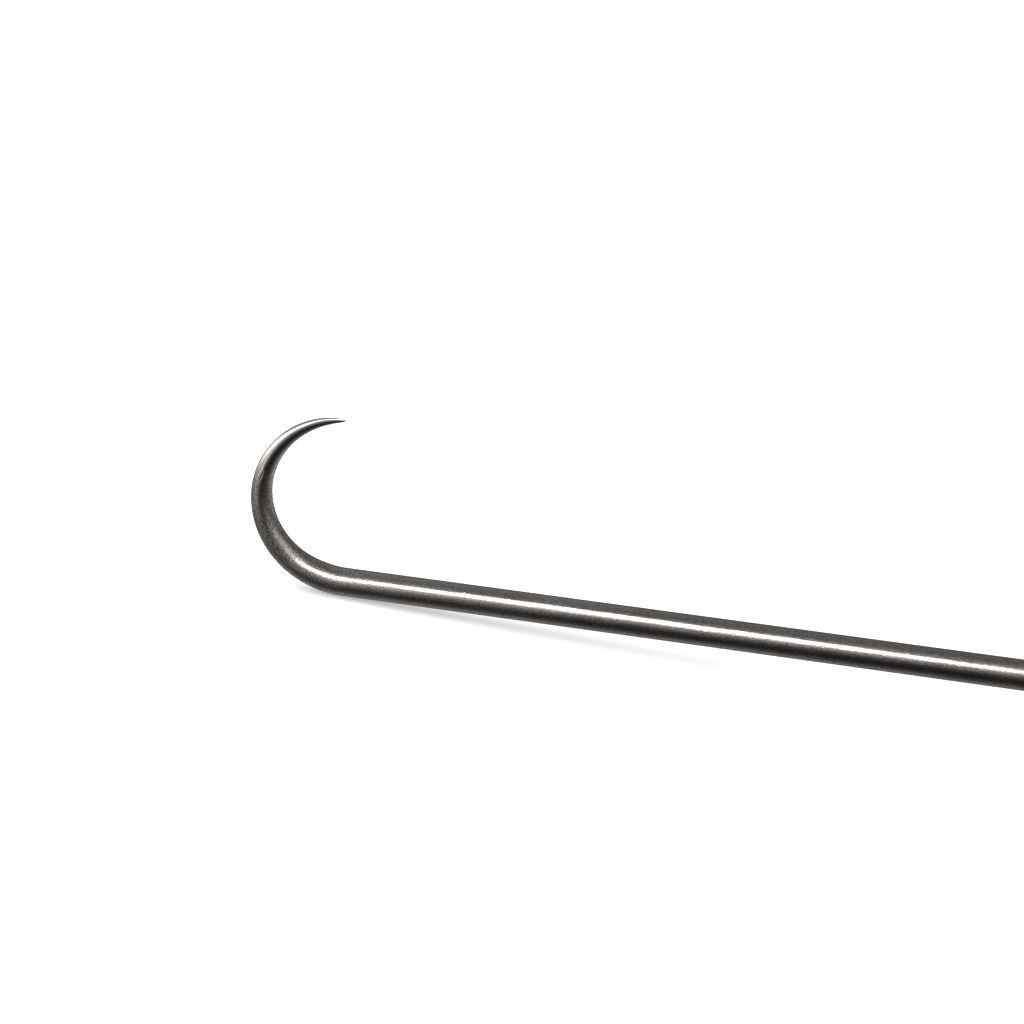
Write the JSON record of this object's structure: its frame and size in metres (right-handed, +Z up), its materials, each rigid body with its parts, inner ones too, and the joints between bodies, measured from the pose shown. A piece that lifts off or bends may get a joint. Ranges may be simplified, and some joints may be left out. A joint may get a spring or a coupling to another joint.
{
  "type": "meat hook",
  "caption": "Hand meat hook: a long round steel bar that bends back into a tapered, sharp point, with a turned wooden crossbar grip bolted across its other end.",
  "frame": {"origin": "on the surface the hook stands on, at the bottom centre of its overall box, with the hook at rest on its bend and its grip", "axes": "+X from the bend towards the grip, +Y along the grip, +Z up; the hook's plane is y = 0 and its point is at the top, curling back towards +X"},
  "size_m": [0.289, 0.112, 0.0511],
  "materials": {
    "bar_steel": "satin stainless round bar with a fine drawn grain; the point is ground and polished bright",
    "turned_steel": "turned stainless, fine lathe rings",
    "fastener_steel": "bright polished stainless fasteners",
    "spring_steel": "plain spring steel, slightly darker and duller",
    "grip_wood": "turned hardwood, oiled, lightly worn where the hand holds it"
  },
  "bodies": {
    "root": {"hook_shank": "bar_steel", "front_bolster": "turned_steel", "grip": "grip_wood", "grip_bush": "turned_steel", "cross_pin": "spring_steel", "rear_washer": "fastener_steel", "lock_washer": "spring_steel", "dome_nut": "fastener_steel"}
  },
  "joints": []
}
